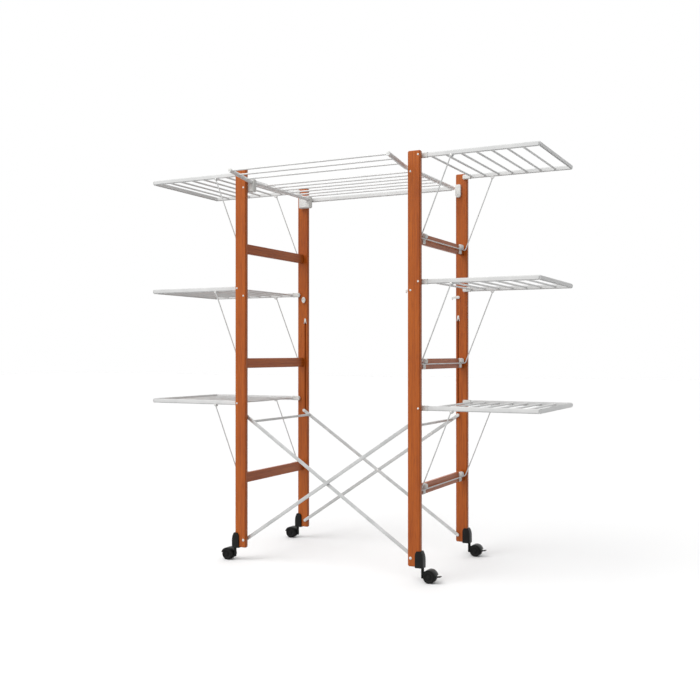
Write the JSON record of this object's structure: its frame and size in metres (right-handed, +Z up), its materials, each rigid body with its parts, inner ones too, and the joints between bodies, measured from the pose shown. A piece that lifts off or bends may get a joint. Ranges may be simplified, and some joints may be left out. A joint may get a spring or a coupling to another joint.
{
  "type": "clothes drying rack",
  "caption": "Folding clothes drying rack: two wooden ladders on casters, fold-down drying wings, a swinging top shelf and a folding scissor brace.",
  "frame": {"origin": "on the floor, under the middle of the whole rack", "axes": "+Z up; +X to the right along the wings, from one ladder to the other; +Y to the rear, away from the overhanging end of the top shelf"},
  "size_m": [1.824, 0.7238, 1.7085],
  "materials": {
    "wood": "satin cherry lacquer over fine straight grain",
    "white_paint": "white stove enamel, semi-gloss",
    "steel": "pale grey coated steel, satin",
    "white_plastic": "moulded, fine satin",
    "black_plastic": "moulded, semi-gloss",
    "black_rubber": "matt tread"
  },
  "bodies": {
    "root": {"post_left_front": "wood", "post_left_rear": "wood", "rung_left_1": "wood", "rung_left_2": "wood", "rung_left_3": "wood", "shelf_bracket_front": "white_plastic", "shelf_bracket_rear": "white_plastic", "latch_knob_front": "white_plastic", "latch_knob_rear": "white_plastic", "caster_socket_left_front": "black_plastic", "caster_socket_left_rear": "black_plastic", "stay_clip_left_1_front": "white_plastic", "stay_clip_left_1_rear": "white_plastic", "stay_clip_left_2_front": "white_plastic", "stay_clip_left_2_rear": "white_plastic", "stay_clip_left_3_front": "white_plastic", "stay_clip_left_3_rear": "white_plastic"},
    "ladder_right": {"post_right_front": "wood", "post_right_rear": "wood", "rung_right_1": "wood", "rung_right_2": "wood", "rung_right_3": "wood", "shelf_catch_front": "white_plastic", "shelf_catch_rear": "white_plastic", "caster_socket_right_front": "black_plastic", "caster_socket_right_rear": "black_plastic", "stay_clip_right_1_front": "white_plastic", "stay_clip_right_1_rear": "white_plastic", "stay_clip_right_2_front": "white_plastic", "stay_clip_right_2_rear": "white_plastic", "stay_clip_right_3_front": "white_plastic", "stay_clip_right_3_rear": "white_plastic"},
    "scissor_outer": {"scissor_outer": "steel"},
    "scissor_inner": {"scissor_inner": "steel"},
    "top_shelf": {"top_shelf": "white_paint"},
    "wing_left_1": {"wing_left_1": "white_paint"},
    "stay_left_1": {"stay_left_1": "steel"},
    "wing_left_2": {"wing_left_2": "white_paint"},
    "stay_left_2": {"stay_left_2": "steel"},
    "wing_left_3": {"wing_left_3": "white_paint"},
    "stay_left_3": {"stay_left_3": "steel"},
    "wing_right_1": {"wing_right_1": "white_paint"},
    "stay_right_1": {"stay_right_1": "steel"},
    "wing_right_2": {"wing_right_2": "white_paint"},
    "stay_right_2": {"stay_right_2": "steel"},
    "wing_right_3": {"wing_right_3": "white_paint"},
    "stay_right_3": {"stay_right_3": "steel"},
    "caster_body_left_front": {"caster_body_left_front": "black_plastic"},
    "caster_wheel_left_front": {"caster_wheel_left_front": "black_rubber"},
    "caster_body_left_rear": {"caster_body_left_rear": "black_plastic"},
    "caster_wheel_left_rear": {"caster_wheel_left_rear": "black_rubber"},
    "caster_body_right_front": {"caster_body_right_front": "black_plastic"},
    "caster_wheel_right_front": {"caster_wheel_right_front": "black_rubber"},
    "brake_lever_right_front": {"brake_lever_right_front": "black_plastic"},
    "caster_body_right_rear": {"caster_body_right_rear": "black_plastic"},
    "caster_wheel_right_rear": {"caster_wheel_right_rear": "black_rubber"},
    "brake_lever_right_rear": {"brake_lever_right_rear": "black_plastic"},
    "latch_hook_front": {"latch_hook_front": "white_plastic"},
    "latch_hook_rear": {"latch_hook_rear": "white_plastic"}
  },
  "joints": [
    {"name": "shelf_swing", "type": "hinge", "parent": "root", "child": "top_shelf", "pos_m": [-0.3685, 0.06775, 1.651], "axis": [0, 1, 0], "range_deg": [0, 90]},
    {"name": "scissor_outer_fold", "type": "hinge", "parent": "root", "child": "scissor_outer", "pos_m": [-0.395, 0.06775, 0.091], "axis": [0, -1, 0], "range_deg": [0, 52]},
    {"name": "scissor_inner_fold", "type": "hinge", "parent": "scissor_outer", "child": "scissor_inner", "pos_m": [0, 0.06775, 0.35875], "axis": [0, -1, 0], "range_deg": [-104, 0]},
    {"name": "ladder_right_fold", "type": "hinge", "parent": "scissor_inner", "child": "ladder_right", "pos_m": [0.395, 0.06775, 0.091], "axis": [0, -1, 0], "range_deg": [0, 52]},
    {"name": "wing_left_1_fold", "type": "hinge", "parent": "root", "child": "wing_left_1", "pos_m": [-0.428, 0.06775, 0.6855], "axis": [0, -1, 0], "range_deg": [0, 86]},
    {"name": "stay_left_1_fold", "type": "hinge", "parent": "wing_left_1", "child": "stay_left_1", "pos_m": [-0.558, 0.06775, 0.6755], "axis": [0, -1, 0], "range_deg": [-109.5, 0]},
    {"name": "wing_left_2_fold", "type": "hinge", "parent": "root", "child": "wing_left_2", "pos_m": [-0.428, 0.06775, 1.1885], "axis": [0, -1, 0], "range_deg": [0, 86]},
    {"name": "stay_left_2_fold", "type": "hinge", "parent": "wing_left_2", "child": "stay_left_2", "pos_m": [-0.558, 0.06775, 1.1785], "axis": [0, -1, 0], "range_deg": [-109.5, 0]},
    {"name": "wing_left_3_fold", "type": "hinge", "parent": "root", "child": "wing_left_3", "pos_m": [-0.428, 0.06775, 1.6915], "axis": [0, -1, 0], "range_deg": [0, 86]},
    {"name": "stay_left_3_fold", "type": "hinge", "parent": "wing_left_3", "child": "stay_left_3", "pos_m": [-0.558, 0.06775, 1.6815], "axis": [0, -1, 0], "range_deg": [-109.5, 0]},
    {"name": "wing_right_1_fold", "type": "hinge", "parent": "ladder_right", "child": "wing_right_1", "pos_m": [0.428, 0.06775, 0.6855], "axis": [0, 1, 0], "range_deg": [0, 86]},
    {"name": "stay_right_1_fold", "type": "hinge", "parent": "wing_right_1", "child": "stay_right_1", "pos_m": [0.558, 0.06775, 0.6755], "axis": [0, 1, 0], "range_deg": [-109.5, 0]},
    {"name": "wing_right_2_fold", "type": "hinge", "parent": "ladder_right", "child": "wing_right_2", "pos_m": [0.428, 0.06775, 1.1885], "axis": [0, 1, 0], "range_deg": [0, 86]},
    {"name": "stay_right_2_fold", "type": "hinge", "parent": "wing_right_2", "child": "stay_right_2", "pos_m": [0.558, 0.06775, 1.1785], "axis": [0, 1, 0], "range_deg": [-109.5, 0]},
    {"name": "wing_right_3_fold", "type": "hinge", "parent": "ladder_right", "child": "wing_right_3", "pos_m": [0.428, 0.06775, 1.6915], "axis": [0, 1, 0], "range_deg": [0, 86]},
    {"name": "stay_right_3_fold", "type": "hinge", "parent": "wing_right_3", "child": "stay_right_3", "pos_m": [0.558, 0.06775, 1.6815], "axis": [0, 1, 0], "range_deg": [-109.5, 0]},
    {"name": "caster_swivel_left_front", "type": "hinge", "parent": "root", "child": "caster_body_left_front", "pos_m": [-0.443, -0.20525, 0.02469], "axis": [0, 0, 1], "continuous": true},
    {"name": "caster_spin_left_front", "type": "hinge", "parent": "caster_body_left_front", "child": "caster_wheel_left_front", "pos_m": [-0.475, -0.20525, 0.02469], "axis": [0, 1, 0], "continuous": true},
    {"name": "caster_swivel_left_rear", "type": "hinge", "parent": "root", "child": "caster_body_left_rear", "pos_m": [-0.443, 0.34075, 0.02469], "axis": [0, 0, 1], "continuous": true},
    {"name": "caster_spin_left_rear", "type": "hinge", "parent": "caster_body_left_rear", "child": "caster_wheel_left_rear", "pos_m": [-0.475, 0.34075, 0.02469], "axis": [0, 1, 0], "continuous": true},
    {"name": "caster_swivel_right_front", "type": "hinge", "parent": "ladder_right", "child": "caster_body_right_front", "pos_m": [0.443, -0.20525, 0.02469], "axis": [0, 0, 1], "continuous": true},
    {"name": "caster_spin_right_front", "type": "hinge", "parent": "caster_body_right_front", "child": "caster_wheel_right_front", "pos_m": [0.475, -0.20525, 0.02469], "axis": [0, 1, 0], "continuous": true},
    {"name": "brake_lever_right_front_press", "type": "hinge", "parent": "caster_body_right_front", "child": "brake_lever_right_front", "pos_m": [0.507, -0.20525, 0.02669], "axis": [0, 1, 0], "range_deg": [0, 20]},
    {"name": "caster_swivel_right_rear", "type": "hinge", "parent": "ladder_right", "child": "caster_body_right_rear", "pos_m": [0.443, 0.34075, 0.02469], "axis": [0, 0, 1], "continuous": true},
    {"name": "caster_spin_right_rear", "type": "hinge", "parent": "caster_body_right_rear", "child": "caster_wheel_right_rear", "pos_m": [0.475, 0.34075, 0.02469], "axis": [0, 1, 0], "continuous": true},
    {"name": "brake_lever_right_rear_press", "type": "hinge", "parent": "caster_body_right_rear", "child": "brake_lever_right_rear", "pos_m": [0.507, 0.34075, 0.02669], "axis": [0, 1, 0], "range_deg": [0, 20]},
    {"name": "latch_hook_front_turn", "type": "hinge", "parent": "ladder_right", "child": "latch_hook_front", "pos_m": [0.395, 0.06775, 1.1545], "axis": [0, -1, 0], "range_deg": [0, 80]},
    {"name": "latch_hook_rear_turn", "type": "hinge", "parent": "ladder_right", "child": "latch_hook_rear", "pos_m": [0.395, 0.06775, 1.1545], "axis": [0, -1, 0], "range_deg": [0, 80]}
  ],
  "couplings": [
    {"joint": "scissor_outer_fold", "follows": "shelf_swing", "ratio": 0.2},
    {"joint": "scissor_inner_fold", "follows": "shelf_swing", "ratio": -0.4},
    {"joint": "ladder_right_fold", "follows": "shelf_swing", "ratio": 0.2},
    {"joint": "stay_left_1_fold", "follows": "wing_left_1_fold", "ratio": -1.2677},
    {"joint": "stay_left_2_fold", "follows": "wing_left_2_fold", "ratio": -1.2677},
    {"joint": "stay_left_3_fold", "follows": "wing_left_3_fold", "ratio": -1.2677},
    {"joint": "stay_right_1_fold", "follows": "wing_right_1_fold", "ratio": -1.2677},
    {"joint": "stay_right_2_fold", "follows": "wing_right_2_fold", "ratio": -1.2677},
    {"joint": "stay_right_3_fold", "follows": "wing_right_3_fold", "ratio": -1.2677}
  ]
}
